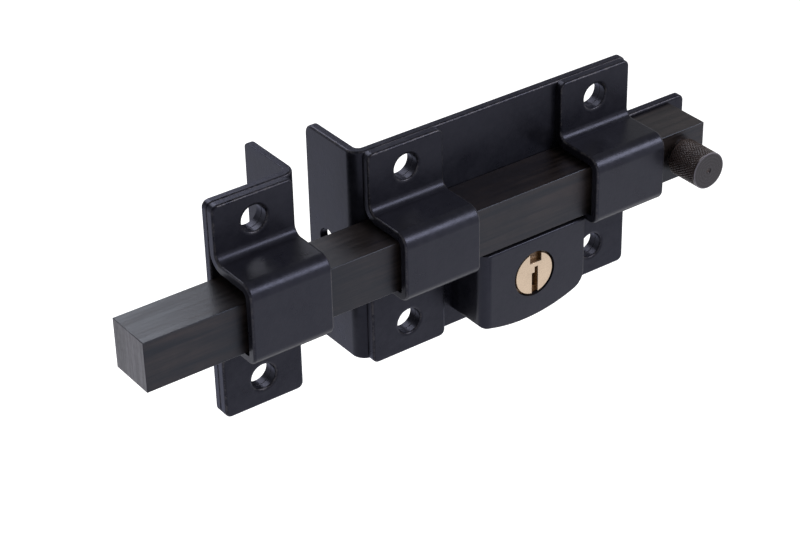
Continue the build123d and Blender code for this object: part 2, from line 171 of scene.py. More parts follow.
class KnobSizes(bpy.types.PropertyGroup):
    """Sizes of the knurled knob."""

    neck_radius: length("Neck radius", "Radius where the knob meets the bar", 5.9)
    neck: length("Neck length", "Length of that neck", 1.2)
    rim: length("Rim", "Width of the plain rim before the face", 0.55)
    edge: length("Edge", "Rounding of the rim", 0.3)
    spigot_radius: length("Spigot radius", "Radius of the spigot inside the bar", 4.0)
    spigot: length("Spigot length", "Length of the spigot inside the bar", 9.0)
    pitch: length("Knurl pitch", "Distance between two neighbouring grooves", 1.05)
    depth: length("Knurl depth", "Depth of the grooves", 0.26)
    run_in: length("Run-in", "Length in which the grooves reach their depth", 0.42)
    slant: angle("Knurl slant", "Angle of the grooves to the axis", 33)
    dimple: length("Dimple", "Radius of the centre mark", 1.1)
    dimple_depth: length("Dimple depth", "Depth of the centre mark", 0.55)


class Finishes(bpy.types.PropertyGroup):
    """Colours of the finishes."""

    paint: colour("Paint", "Blue-black paint of the sheets", (0.0050, 0.0050, 0.0078))
    paint_worn: colour("Thin paint", "The same paint where it is thin", (0.0115, 0.0112, 0.0155))
    rubbed: colour("Rubbed rim", "Where the paint is rubbed off a rim", (0.040, 0.037, 0.039))
    oxide: colour("Oxide", "Blackened steel of the bar", (0.0040, 0.0026, 0.0021))
    oxide_light: colour("Rubbed oxide", "The bar where it is rubbed", (0.0265, 0.0190, 0.0165))
    knurl: colour("Knurling", "Blackened steel in the knurling", (0.006, 0.0033, 0.0024))
    knurl_light: colour("Rubbed knurling", "Knurling where it is rubbed", (0.046, 0.032, 0.028))
    sawn: colour("Sawn steel", "The bar's cut ends", (0.14, 0.13, 0.155))
    brass: colour("Brass", "Pale brass of the plug", (0.58, 0.455, 0.345))
    # Dark brass behind the plug's face: partly tarnish, partly painted shade of the keyway and
    # notch
    brass_tarnish_and_shade: colour("Dark brass", "Brass behind the plug's face", (0.19, 0.095, 0.036))
    steel: colour("Steel", "Bright steel inside the lock", (0.45, 0.45, 0.46))
    paint_shine: colour("Paint shine", "Colour of the paint's shine", (0.68, 0.71, 1.0))
    oxide_shine: colour("Oxide shine", "Colour of the bar's shine", (0.63, 0.73, 1.0))
    knurl_shine: colour("Knurl shine", "Colour of the knob's shine", (0.90, 0.86, 1.0))
    floor: colour("Floor", "Plain pale floor", (0.80, 0.80, 0.80))


class FinishPlaces(bpy.types.PropertyGroup):
    """Where the finishes change."""

    thin_from: length("Thin paint from", "Height over the door where paint gets thin", 8.0)
    thin_to: length("Thin paint to", "Height over the door where it is thinnest", 6.6)
    end_depth: length("Sawn end", "How deep a cut end of the bar goes", 0.05)
    face_depth: length("Turned face", "How deep the knob's face goes", 0.35)
    # A painted highlight: a light ring round the knob's face, between these two
    highlight_rim_from: length("Knob rim from", "Inner edge of the face's bright rim", 0.5)
    highlight_rim_to: length("Knob rim to", "Where the rim is brightest", 0.3)
    # Depths where the dark brass behind the face, partly tarnish and partly painted shade, begins
    # and is full
    deep_from: length("Dark brass from", "Depth in the plug where brass gets dark", 0.1)
    deep_to: length("Dark brass to", "Depth in the plug where it is darkest", 0.7)
    # Heights where the painted shade in the notch above the keyway starts and is full
    notch_from: length("Painted shade from", "Height over the keyway's middle where grime starts", 3.6)
    notch_to: length("Painted shade to", "Height over the keyway's middle of the full grime", 4.2)


class StudioSizes(bpy.types.PropertyGroup):
    """Camera, floor and lamps."""

    camera: metres("Camera", "Where the camera stands", (-0.43436, -0.55262, 0.40830))
    azimuth: angle("Azimuth", "The view's turn from +Y towards +X", 35.435)
    elevation: angle("Elevation", "How far the view looks down", 31.782)
    roll: angle("Roll", "Turn of the picture about the view", -1.337)
    lens: FloatProperty(name="Lens", description="Focal length on a 36 mm wide sensor, in mm",
                        default=101.856)
    floor_drop: length("Floor drop", "How far the floor lies below the lock", 420)
    floor_half: length("Floor half", "Half the width of the floor", 3000)
    floor_seen: amount("Floor seen", "Light that the camera sees on the floor", 0.72)
    floor_mirrored: amount("Floor mirrored", "Light that gloss sees on the floor", 0.5)
    key_lamp: amount("Key lamp", "Power of the lamp at the front right", 8, "POWER")
    key_place: metres("Key lamp place", "Where it stands from the middle", (0.55, -0.62, 0.62))
    key_size: metres("Key lamp size", "Its width and height", (0.7, 0.36))
    back_lamp: amount("Back lamp", "Power of the lamp behind the bar", 7, "POWER")
    back_place: metres("Back lamp place", "Where it stands", (-0.02, 0.87, 0.68))
    back_size: metres("Back lamp size", "Its width and height", (0.76, 0.5))
    upper_surround: amount("Upper surround", "Brightness overhead", 0.30)


# Meshes from arrays
def finished_object(name, points, faces, normals=None):
    """An object at the origin made of arrays of points and faces, shaded smooth.

    Where normals are given, each face is turned so that it looks their way.
    """
    if normals is not None:
        first, second, third = (points[faces[:, step]] for step in range(3))
        looks = np.cross(second - first, third - first)
        wanted = normals[faces].mean(axis=1)
        wrong = (looks * wanted).sum(axis=1) < 0
        faces[wrong] = faces[wrong, ::-1]
    mesh = bpy.data.meshes.new(name)
    mesh.from_pydata(points.tolist(), [], faces.tolist())
    mesh.polygons.foreach_set("use_smooth", np.ones(len(mesh.polygons), bool))
    if normals is not None:
        mesh.normals_split_custom_set_from_vertices(normals.tolist())
    mesh.update()
    made = bpy.data.objects.new(name, mesh)
    bpy.context.scene.collection.objects.link(made)
    return made


def strips(rows, columns, start=0):
    """Triangles that join each row of a closed grid to the next, its last column to its first."""
    row, column = np.meshgrid(np.arange(rows - 1), np.arange(columns), indexing="ij")
    following = (column + 1) % columns
    one = start + row * columns + column
    two = start + row * columns + following
    three = one + columns
    four = two + columns
    halves = np.stack([np.stack([one, two, four], -1), np.stack([one, four, three], -1)], 2)
    return halves.reshape(-1, 3)


def merged_copy(node, name, soften=0.0):
    """A copy of a CAD node with its doubles merged, rounded along its sharp edges."""
    source = frame["nodes"][node].data
    shape = bmesh.new()
    shape.from_mesh(source)
    bmesh.ops.remove_doubles(shape, verts=shape.verts, dist=SAME_POINT)
    bmesh.ops.recalc_face_normals(shape, faces=shape.faces)
    for edge in shape.edges:
        edge.smooth = edge.calc_face_angle(0) < SHARP_ANGLE
    for face in shape.faces:
        face.smooth = True
    mesh = bpy.data.meshes.new(name)
    shape.to_mesh(mesh)
    shape.free()
    made = bpy.data.objects.new(name, mesh)
    bpy.context.scene.collection.objects.link(made)
    if soften:
        rounding = made.modifiers.new("rounding", "BEVEL")
        rounding.width = soften
        rounding.segments = 2
        rounding.limit_method = "ANGLE"
        rounding.angle_limit = ROUNDED_ANGLE
        rounding.miter_outer = "MITER_ARC"
    weighted = made.modifiers.new("flat faces first", "WEIGHTED_NORMAL")
    weighted.keep_sharp = True
    return made


# Bent sheets
def rounded_outline(corners, radii, rows):
    """Points and outward normals of a flat outline that runs anticlockwise, its corners rounded.

    A corner becomes an arc of its radius that touches both sides. A side along the sheet has
    a point at each of the given rows, and a side across it has points a few millimetres apart.
    """
    corners = np.array(corners)
    ahead = np.roll(corners, -1, axis=0) - corners
    ahead /= np.linalg.norm(ahead, axis=1, keepdims=True)
    behind = np.roll(ahead, 1, axis=0)
    points, normals = [], []
    for index, (corner, radius) in enumerate(zip(corners, radii)):
        before, after = behind[index], ahead[index]
        side = np.sign(before[0] * after[1] - before[1] * after[0])
        start = np.array([before[1], -before[0]])
        end = np.array([after[1], -after[0]])
        turn = np.linspace(0, pi / 2, CORNER_STEPS + 1)[:, None]
        arc_normals = start * np.cos(turn) + end * np.sin(turn)
        centre = corner - radius * before + radius * after
        points.append(centre + side * radius * arc_normals)
        normals.append(arc_normals)
        following = (index + 1) % len(corners)
        low = corner + after * radius
        high = corners[following] - after * radii[following]
        if abs(after[1]) > 0.5:
            inside = rows[(rows > min(low[1], high[1])) & (rows < max(low[1], high[1]))]
            inside = inside if after[1] > 0 else inside[::-1]
            between = np.stack([np.full(len(inside), low[0]), inside], -1)
        else:
            count = max(2, round(abs(high[0] - low[0]) / FLAT_STEP))
            between = np.linspace(low, high, count + 1)[1:-1]
        points.append(between)
        normals.append(np.repeat(end[None], len(between), 0))
    return np.concatenate(points), np.concatenate(normals)


def round_hole(centre, radius):
    """Points of a hole's edge, and normals that look away from the sheet, towards its centre."""
    turn = np.linspace(0, 2 * pi, HOLE_STEPS + 1)[:-1]
    ring = np.stack([np.cos(turn), np.sin(turn)], -1)
    return np.array(centre) + radius * ring, -ring


def edge_profile(thickness, back, front, straight_back=False):
    """The rim of a sheet from its back face to its front face: inset, height and normal.

    Each rounding is a quarter of an ellipse of the given width and depth. A straight back
    is a cone, as under a countersunk head.
    """
    turn = np.linspace(0, pi / 2, RIM_STEPS + 1)
    inset_front = front[0] * (1 - np.cos(turn))
    height_front = thickness / 2 - front[1] * (1 - np.sin(turn))
    normal_front = np.stack([np.cos(turn) / front[0], np.sin(turn) / front[1]], -1)
    if straight_back:
        inset_back = np.array([back[0], 0])
        height_back = np.array([-thickness / 2, -thickness / 2 + back[1]])
        normal_back = np.array([[1, -1], [1, -1]]) / back[0]
    else:
        inset_back = back[0] * (1 - np.cos(turn[::-1]))
        height_back = -thickness / 2 + back[1] * (1 - np.sin(turn[::-1]))
        normal_back = np.stack([np.cos(turn[::-1]) / back[0], -np.sin(turn[::-1]) / back[1]], -1)
    inset = np.concatenate([inset_back, inset_front])
    height = np.concatenate([height_back, height_front])
    normal = np.concatenate([normal_back, normal_front])
    return inset, height, normal / np.linalg.norm(normal, axis=1, keepdims=True)


def inside_loops(places, loops):
    """Which flat places lie inside the first loop and outside the others.

    A place is inside where a line from it crosses the loops an odd number of times.
    """
    inside = np.zeros(len(places), bool)
    for loop in loops:
        following = np.roll(loop, -1, axis=0)
        above = loop[:, 1] > places[:, 1:2]
        above_next = following[:, 1] > places[:, 1:2]
        rise = following[:, 1] - loop[:, 1]
        rise = np.where(rise == 0, 1, rise)
        run = following[:, 0] - loop[:, 0]
        crossing = loop[:, 0] + (places[:, 1:2] - loop[:, 1]) * run / rise
        passes = (above != above_next) & (places[:, 0:1] < crossing)
        inside ^= passes.sum(axis=1) % 2 == 1
    return inside


def filled(loops, loop_index, columns, rows, first_own):
    """Inner places and triangles that fill a flat face between its loops of edge points.

    The loops' points are numbered by loop_index in the mesh, and the inner ones from first_own.
    """
    across, along = np.meshgrid(columns, rows, indexing="ij")
    places = np.stack([across.ravel(), along.ravel()], -1)
    edge_points = np.concatenate(loops)
    clear = np.linalg.norm(places[:, None] - edge_points[None], axis=2).min(axis=1) > EDGE_STRIP
    places = places[clear & inside_loops(places, loops)]
    everything = np.concatenate([edge_points, places])
    edges, offset = [], 0
    for loop in loops:
        ring = offset + np.arange(len(loop))
        edges.append(np.stack([ring, np.roll(ring, -1)], -1))
        offset += len(loop)
    points = [Vector(point) for point in everything.tolist()]
    corners, _, faces, origin, _, _ = delaunay_2d_cdt(
        points, np.concatenate(edges).tolist(), [], 0, 1e-9)
    faces = np.array(faces)
    flat = np.array([tuple(corner) for corner in corners])
    faces = faces[inside_loops(flat[faces].mean(axis=1), loops)]
    own_index = np.concatenate([loop_index, first_own + np.arange(len(places))])
    in_mesh = own_index[np.array([sources[0] for sources in origin])]
    return places, in_mesh[faces]


def path_pieces(corners, radii):
    """Straight runs and arcs of a bent line: length, start, direction, turning side and radius."""
    corners = np.array(corners)
    runs = np.diff(corners, axis=0)
    lengths = np.linalg.norm(runs, axis=1)
    runs /= lengths[:, None]
    radii = [0, *radii, 0]
    pieces = []
    place = corners[0]
    for index, run in enumerate(runs):
        straight = lengths[index] - radii[index] - radii[index + 1]
        pieces.append((straight, place, run, 0, 0))
        place = place + straight * run
        if index < len(runs) - 1:
            after = runs[index + 1]
            radius = radii[index + 1]
            side = np.sign(run[0] * after[1] - run[1] * after[0])
            pieces.append((radius * pi / 2, place, run, side, radius))
            place = place + radius * (run + after)
    return pieces


def carried(pieces, along):
    """Place and direction on a bent line at each distance along it.

    On a straight run the place is its start plus the distance times its direction. On an arc
    it turns about a centre beside the run by the distance over the radius.
    """
    place = np.zeros((len(along), 2))
    heading = np.zeros((len(along), 2))
    begun = 0.0
    for number, (size, start, run, side, radius) in enumerate(pieces, 1):
        last = number == len(pieces)
        here = (along >= begun - 1e-9) & ((along < begun + size) | last)
        distance = (along[here] - begun)[:, None]
        beside = np.array([-run[1], run[0]]) * side
        if side:
            turn = distance / radius
            place[here] = start + radius * (run * np.sin(turn) + beside * (1 - np.cos(turn)))
            heading[here] = run * np.cos(turn) + beside * np.sin(turn)
        else:
            place[here] = start + distance * run
            heading[here] = run
        begun += size
    return place, heading


def row_places(pieces):
    """Distances along a bent line where the sheet has a row of points: close in the bends."""
    rows = [np.zeros(1)]
    begun = 0.0
    for size, _, _, side, _ in pieces:
        count = round(pi / 2 / ARC_STEP) if side else max(1, round(size / FLAT_STEP))
        rows.append(begun + np.linspace(0, size, count + 1)[1:])
        begun += size
    return np.concatenate(rows)


def flat_sheet(loops, rows, thickness):
    """A flat sheet with a rim round each of its loops: points, normals, triangles and masks.

    A point has a place across the sheet, a distance along it and a height through it. The mask
    cut is the part of a rim's normal that looks away from the sheet, and wear is twice the
    product of its two parts: one halfway round the rim's front rounding.
    """
    flat, normals, faces, wear, cut = [], [], [], [], []
    back_loops, front_loops, back_index, front_index = [], [], [], []
    count = 0
    for (points, outward), (inset, height, slope) in loops:
        ring = points[None] - inset[:, None, None] * outward[None]
        up = np.repeat(height[:, None, None], len(points), 1)
        flat.append(np.concatenate([ring, up], -1).reshape(-1, 3))
        level = np.repeat(slope[:, None, 1:], len(points), 1)
        normals.append(
            np.concatenate([slope[:, None, :1] * outward[None], level], -1).reshape(-1, 3))
        wear.append(np.repeat(np.clip(2 * slope[:, 0] * slope[:, 1], 0, 1), len(points)))
        cut.append(np.repeat(slope[:, 0], len(points)))
        faces.append(strips(len(inset), len(points), count))
        back_loops.append(ring[0])
        front_loops.append(ring[-1])
        back_index.append(count + np.arange(len(points)))
        front_index.append(count + (len(inset) - 1) * len(points) + np.arange(len(points)))
        count += len(inset) * len(points)
    widest = loops[0][0][0][:, 0]
    spaces = max(2, round((widest.max() - widest.min()) / FLAT_STEP))
    columns = np.linspace(widest.min(), widest.max(), spaces + 1)[1:-1]
    for face_loops, index, height in (
        (back_loops, back_index, -thickness / 2),
        (front_loops, front_index, thickness / 2),
    ):
        places, fill = filled(face_loops, np.concatenate(index), columns, rows[1:-1], count)
        flat.append(np.concatenate([places, np.full((len(places), 1), height)], -1))
        looks = np.zeros((len(places), 3))
        looks[:, 2] = np.sign(height)
        normals.append(looks)
        wear.append(np.zeros(len(places)))
        cut.append(np.zeros(len(places)))
        faces.append(fill)
        count += len(places)
    masks = {"wear": np.concatenate(wear), "cut": np.concatenate(cut)}
    return np.concatenate(flat), np.concatenate(normals), np.concatenate(faces), masks


def bent_sheet(name, corners, bends, thickness, side, across, loops_of):
    """A sheet with soft edges and holes, cut flat and then carried onto its bent line.

    A flat point's distance picks a place and a direction on the line, and its height moves it
    square to that direction. Side says on which side of the line the front lies, and across is
    the axis of its first coordinate, 0 for X or 2 for Z. Each bend has its own inside radius.
    """
    pieces = path_pieces(corners, [bend + thickness / 2 for bend in bends])
    rows = row_places(pieces)
    total = rows[-1]
    flat, flat_normals, faces, masks = flat_sheet(loops_of(total, rows), rows, thickness)
    place, heading = carried(pieces, np.clip(flat[:, 1], 0, total))
    out = side * np.stack([heading[:, 1], -heading[:, 0]], -1)
    axes = [axis for axis in (0, 1, 2) if axis != across]
    points = np.zeros((len(flat), 3))
    points[:, across] = flat[:, 0]
    points[:, axes] = place + flat[:, 2:] * out
    normals = np.zeros((len(flat), 3))
    normals[:, across] = flat_normals[:, 0]
    normals[:, axes] = flat_normals[:, 1:2] * heading + flat_normals[:, 2:] * out
    made = finished_object(name, points, faces, normals)
    for label, values in masks.items():
        mask = made.data.attributes.new(label, "FLOAT", "POINT")
        mask.data.foreach_set("value", values)
    return made


def sheet_rims(sizes):
    """The rims used on the sheets: outer edge, plain hole, dimpled hole and screw seat."""
    back = (sizes.back_edge, sizes.back_edge)
    soft = (sizes.soft_edge, sizes.soft_depth)
    lip = (sizes.lip_width, sizes.lip_depth)
    sink = (sizes.back_screw_sink, sizes.back_screw_sink)
    return {
        "edge": edge_profile(sizes.thickness, back, soft),
        "hole": edge_profile(sizes.thickness, back, back),
        "dimple": edge_profile(sizes.thickness, back, lip),
        "seat": edge_profile(sizes.thickness, sink, back, straight_back=True),
    }


def strap(node, room_above, room_below):
    """A hat-shaped strap that goes over the bar, with a dimpled screw hole in each ear."""
    sizes = bpy.context.scene.lock_sheets
    low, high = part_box(node)
    bar_low, bar_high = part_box("bar")
    half = sizes.thickness / 2
    ear = high.y - half
    wall = low.y + half
    over = bar_high.z + room_above + half
    under = bar_low.z - room_below - half
    line = [(ear, high.z), (ear, over), (wall, over), (wall, under), (ear, under), (ear, low.z)]
    rims = sheet_rims(sizes)
    middle = (low.x + high.x) / 2
    rise = high.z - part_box("base_plate")[1].z
    first = high.z - (rise + sizes.hole_spacing / 2)
    last = rise - sizes.hole_spacing / 2 - low.z

    def loops_of(total, rows):
        corners = [(low.x, 0), (high.x, 0), (high.x, total), (low.x, total)]
        return [
            (rounded_outline(corners, [sizes.corner] * 4, rows), rims["edge"]),
            (round_hole((middle, first), sizes.hole), rims["dimple"]),
            (round_hole((middle, total - last), sizes.hole), rims["dimple"]),
        ]

    bends = [sizes.ear_bend, sizes.bend, sizes.lower_bend, sizes.ear_bend]
    return bent_sheet(f"{node}_sheet", line, bends, sizes.thickness, 1, 0, loops_of)


def keeper_sheet():
    """The keeper plate, bent back at its right side, with two screw holes and a flange hole."""
    sizes = bpy.context.scene.lock_sheets
    low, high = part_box("keeper_plate")
    rise = high.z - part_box("base_plate")[1].z
    half = sizes.thickness / 2
    line = [(high.x - half, high.y), (high.x - half, -half), (low.x, -half)]
    rims = sheet_rims(sizes)
    strap_low, strap_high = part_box("keeper_strap")
    middle = (strap_low.x + strap_high.x) / 2

    def loops_of(total, rows):
        corners = [(low.z, 0), (high.z, 0), (high.z, total), (low.z, total)]
        radii = [sizes.keeper_corner, sizes.keeper_corner, sizes.corner, sizes.corner]
        loops = [(rounded_outline(corners, radii, rows), rims["edge"])]
        flange_place = (rise + sizes.flange_hole_z, high.y - sizes.flange_hole_depth)
        loops.append((round_hole(flange_place, sizes.flange_hole), rims["hole"]))
        for side in (-1, 1):
            place = (rise + side * sizes.hole_spacing / 2, total - (middle - low.x))
            loops.append((round_hole(place, sizes.hole), rims["hole"]))
        return loops

    return bent_sheet("keeper_plate_sheet", line, [sizes.bend], sizes.thickness, -1, 2, loops_of)


def base_sheet():
    """The base plate: a flange at the left, a tongue behind the bar and holes for every screw."""
    sizes = bpy.context.scene.lock_sheets
    low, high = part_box("base_plate")
    bar_low, bar_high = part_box("bar")
    half = sizes.thickness / 2
    line = [(low.x + half, high.y), (low.x + half, -half), (high.x, -half)]
    rims = sheet_rims(sizes)
    strap_edges = [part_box(node) for node in ("left_strap", "right_strap")]
    strap_middles = [(edges[0].x + edges[1].x) / 2 for edges in strap_edges]
    shoulder = strap_edges[1][1].x + sizes.right_margin
    tongue_low = bar_low.z - sizes.tongue_margin
    tongue_high = bar_high.z + sizes.tongue_margin

    def loops_of(total, rows):
        def along(x):
            return total - (high.x - x)

        corners = [
            (low.z, 0),
            (high.z, 0),
            (high.z, along(shoulder)),
            (tongue_high, along(shoulder)),
            (tongue_high, total),
            (tongue_low, total),
            (tongue_low, along(shoulder)),
            (low.z, along(shoulder)),
        ]
        flange, outer, inner = sizes.flange_corner, sizes.corner, sizes.tongue_corner
        radii = [flange, flange, outer, inner, outer, outer, inner, outer]
        loops = [(rounded_outline(corners, radii, rows), rims["edge"])]
        flange_place = (sizes.flange_hole_z, high.y - sizes.flange_hole_depth)
        loops.append((round_hole(flange_place, sizes.flange_hole), rims["hole"]))
        for middle in strap_middles:
            for side in (-1, 1):
                place = (side * sizes.hole_spacing / 2, along(middle))
                loops.append((round_hole(place, sizes.hole), rims["hole"]))
        for x, z in back_screw_places():
            loops.append((round_hole((z, along(x)), sizes.back_screw), rims["seat"]))
        return loops

    return bent_sheet("base_plate_sheet", line, [sizes.bend], sizes.thickness, 1, 2, loops_of)


def back_screw_places():
    """Where the six screws from the back stand, as X and Z, from the boxes of their nodes.

    A screw stands the radius of its head inside its node's box. Where the node's screws are in
    one row, that is half the box's height.
    """
    head = bpy.context.scene.lock_sheets.back_screw_head
    places = []
    for node, rows in (("case_screws", 2), ("cylinder_screws", 1)):
        low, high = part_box(node)
        inside = (high.z - low.z) / 2 if rows == 1 else head
        middle = (low.z + high.z) / 2
        for x in (low.x + inside, high.x - inside):
            heights = (low.z + inside, high.z - inside) if rows == 2 else (middle,)
            places += [(x, z) for z in heights]
    return places


def knob_outline(sizes, radius, reach, shoulder, knurl_end):
    """Depth and radius at each step of the knob, from its spigot's end to its centre mark."""
    tip = 0.2 * MM
    knurl_rows = round((knurl_end - shoulder) / sizes.pitch * GROOVE_ROWS)
    knurl = np.linspace(shoulder, knurl_end, knurl_rows)
    bow = np.linspace(0, pi / 2, 6)
    rim_depth = reach - sizes.edge * (1 - np.sin(bow))
    rim_radius = radius - sizes.edge * (1 - np.cos(bow))
    face = np.linspace(radius - sizes.edge, sizes.dimple, 12)[1:]
    dish = np.linspace(0, pi / 2, 7)[1:-1]
    depth = np.concatenate([
        [-sizes.spigot, -sizes.spigot, 0, 0, sizes.neck], knurl, rim_depth,
        np.full(len(face), reach), reach - sizes.dimple_depth * np.sin(dish),
    ])
    radii = np.concatenate([
        [tip, sizes.spigot_radius, sizes.spigot_radius, sizes.neck_radius, sizes.neck_radius],
        np.full(len(knurl), radius), rim_radius, face, sizes.dimple * np.cos(dish),
    ])
    return depth, radii


def knurled_knob():
    """A turned knob on the bar: a radius and a depth for each step, spun once round.

    In the knurled stretch the radius drops into two sets of slanted grooves. The height left
    between them is the lower of two triangle waves of the turn plus or minus the distance,
    cut flat at two thirds of its full height.
    """
    flat_top = 2 / 3
    sizes = bpy.context.scene.lock_knob
    low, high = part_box("knob")
    bar_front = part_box("bar")[0].y
    centre_x = (low.x + high.x) / 2
    centre_z = (low.z + high.z) / 2
    radius = (high.x - low.x) / 2
    reach = bar_front - low.y
    around = round(2 * pi * radius / sizes.pitch)
    columns = around * GROOVE_COLUMNS
    turn = np.linspace(0, 2 * pi, columns + 1)[:-1]
    shoulder = sizes.neck + (radius - sizes.neck_radius)
    knurl_end = reach - sizes.rim
    depth, radii = knob_outline(sizes, radius, reach, shoulder, knurl_end)
    reach_in = np.minimum(depth - shoulder, knurl_end - depth) / sizes.run_in
    share_cut = np.clip(reach_in, 0, 1)[:, None]
    lead = np.tan(sizes.slant) / sizes.pitch * depth[:, None]
    one = (around * turn / (2 * pi) + lead) % 1
    two = (around * turn / (2 * pi) - lead) % 1
    ridge = np.minimum(1 - np.abs(2 * one - 1), 1 - np.abs(2 * two - 1))
    cut = sizes.depth * share_cut * (1 - np.clip(ridge / flat_top, 0, 1))
    spread = radii[:, None] - cut
    x = centre_x + spread * np.cos(turn)
    z = centre_z + spread * np.sin(turn)
    y = np.repeat(bar_front - depth[:, None], columns, 1)
    points = np.stack([x, y, z], -1).reshape(-1, 3)
    poles = np.array([
        [centre_x, bar_front + sizes.spigot, centre_z],
        [centre_x, bar_front - reach + sizes.dimple_depth, centre_z],
    ])
    ring = np.arange(columns)
    following = (ring + 1) % columns
    last = (len(depth) - 1) * columns
    start_fan = np.stack([ring, np.full(columns, len(points)), following], -1)
    end_fan = np.stack([last + ring, last + following, np.full(columns, len(points) + 1)], -1)
    faces = np.concatenate([strips(len(depth), columns), start_fan, end_fan])
    made = finished_object("knurled_knob", np.concatenate([points, poles]), faces)
    shape = bmesh.new()
    shape.from_mesh(made.data)
    bmesh.ops.recalc_face_normals(shape, faces=shape.faces)
    for edge in shape.edges:
        edge.smooth = edge.calc_face_angle(0) < KNOB_SHARP_ANGLE
    shape.to_mesh(made.data)
    shape.free()
    return made


# Shared effects
class Tree:
    """A small helper that keeps a node tree's nodes and links at hand."""

    def __init__(self, tree):
        self.nodes = tree.nodes
        self.links = tree.links

    def put(self, value, socket):
        """Sets a socket to a value, or links another socket into it."""
        if isinstance(value, bpy.types.NodeSocket):
            self.links.new(value, socket)
        else:
            socket.default_value = value

    def set(self, node, **values):
        """Sets or links some of a node's inputs by their names."""
        for key, value in values.items():
            self.put(value, node.inputs[key.replace("_", " ")])
        return node

    def new(self, kind, **values):
        """A new node with some of its inputs set or linked."""
        return self.set(self.nodes.new(kind), **values)

    def maths(self, operation, first, second=0.0):
        """One sum on two sockets or numbers."""
        node = self.nodes.new("ShaderNodeMath")
        node.operation = operation
        self.put(first, node.inputs[0])
        self.put(second, node.inputs[1])
        return node.outputs[0]

    def between(self, value, low, high, start=0.0, stop=1.0, way="LINEAR"):
        """A number that runs evenly from low to high while the value goes from start to stop."""
        node = self.new("ShaderNodeMapRange", Value=value, From_Min=start, From_Max=stop,
                        To_Min=low, To_Max=high)
        node.interpolation_type = way
        return node.outputs["Result"]

    def ramp(self, value, start, stop, low=0.0, high=1.0):
        """The same, but smooth at both ends."""
        return self.between(value, low, high, start, stop, "SMOOTHSTEP")

    def blend(self, mask, low, high):
        """A colour that runs from low to high with a mask."""
        mix = self.nodes.new("ShaderNodeMix")
        mix.data_type = "RGBA"
        self.put(mask, mix.inputs[0])
        for value, socket in ((low, mix.inputs[6]), (high, mix.inputs[7])):
            is_socket = isinstance(value, bpy.types.NodeSocket)
            self.put(value if is_socket else (*value, 1), socket)
        return mix.outputs[2]


def shared_group(name, inputs, fill):
    """A shader group that gives a mask, made once: fill makes the mask from the group's inputs."""
    if name in bpy.data.node_groups:
        return bpy.data.node_groups[name]
    group = bpy.data.node_groups.new(name, "ShaderNodeTree")
    for label, kind, default in inputs:
        socket = group.interface.new_socket(name=label, in_out="INPUT", socket_type=kind)
        if default is not None:
            socket.default_value = default
    group.interface.new_socket(name="Mask", in_out="OUTPUT", socket_type="NodeSocketFloat")
    tree = Tree(group)
    start = tree.new("NodeGroupInput")
    tree.new("NodeGroupOutput", Mask=fill(tree, start.outputs))
    return group


def mottle_group():
    """Cloudy patches with fine grain in them, as a mask between nought and one."""
    def fill(tree, given):
        place = given["Vector"]
        patch = tree.new("ShaderNodeTexNoise", Vector=place, Scale=given["Patch scale"], Detail=4)
        grain = tree.new("ShaderNodeTexNoise", Vector=place, Scale=given["Grain scale"], Detail=2)
        mix = tree.nodes.new("ShaderNodeMix")
        tree.put(given["Grain share"], mix.inputs[0])
        tree.put(patch.outputs["Fac"], mix.inputs[2])
        tree.put(grain.outputs["Fac"], mix.inputs[3])
        return tree.between(mix.outputs[0], 0.0, 1.0, 0.3, 0.7)

    inputs = [("Vector", "NodeSocketVector", None), ("Patch scale", "NodeSocketFloat", 60.0),
              ("Grain scale", "NodeSocketFloat", 900.0), ("Grain share", "NodeSocketFloat", 0.3)]
    return shared_group("mottle", inputs, fill)


def streaks_group():
    """Drawn lines: noise stretched by a different amount along each axis, as a mask."""
    def fill(tree, given):
        scale = tree.nodes.new("ShaderNodeVectorMath")
        scale.operation = "MULTIPLY"
        tree.put(given["Vector"], scale.inputs[0])
        tree.put(given["Stretch"], scale.inputs[1])
        lines = tree.new("ShaderNodeTexNoise", Vector=scale.outputs[0], Scale=1, Detail=5,
                         Roughness=0.65)
        start = tree.maths("SUBTRACT", 0.5, given["Sharpness"])
        stop = tree.maths("ADD", 0.5, given["Sharpness"])
        return tree.between(lines.outputs["Fac"], 0.0, 1.0, start, stop)

    inputs = [("Vector", "NodeSocketVector", None), ("Stretch", "NodeSocketVector", (1, 1, 1)),
              ("Sharpness", "NodeSocketFloat", 0.2)]
    return shared_group("streaks", inputs, fill)


class Material(Tree):
    """A new material whose effects lie in its object's coordinates."""

    def __init__(self, name, metallic, roughness):
        self.material = bpy.data.materials.new(name)
        self.material.use_nodes = True
        super().__init__(self.material.node_tree)
        self.shader = self.nodes["Principled BSDF"]
        self.feed("Metallic", metallic)
        self.feed("Roughness", roughness)
        self.place = self.new("ShaderNodeTexCoord").outputs["Object"]

    def feed(self, label, value):
        """Sets one of the shader's inputs, or links a socket into it."""
        self.put(value, self.shader.inputs[label])

    def group(self, tree, **values):
        """The mask of a shared group with its inputs set."""
        node = self.nodes.new("ShaderNodeGroup")
        node.node_tree = tree
        self.set(node, Vector=self.place, **values)
        return node.outputs["Mask"]

    def coordinate(self, axis):
        """One of the object's three coordinates."""
        return self.new("ShaderNodeSeparateXYZ", Vector=self.place).outputs[axis]

    def mask(self, name):
        """One of the piece's own attributes; nought where the piece has none."""
        node = self.new("ShaderNodeAttribute")
        node.attribute_name = name
        return node.outputs["Fac"]

    def facing(self):
        """How far the surface is turned away: nought when it faces the view, one edge-on."""
        return self.new("ShaderNodeLayerWeight").outputs["Facing"]

    def relief(self, height, depth, share):
        """Feeds the shader's normal with a share of a bump of the given depth."""
        bump = self.new("ShaderNodeBump", Height=height, Distance=depth, Strength=share)
        self.feed("Normal", bump.outputs["Normal"])

    def shine(self, tint, bending):
        """Sets the colour of the shine, and how much the coat bends light and so shines."""
        self.feed("Specular Tint", (*tint, 1))
        self.feed("IOR", bending)


def dimmed(shade, share):
    """A share of a colour."""
    return tuple(share * part for part in shade)


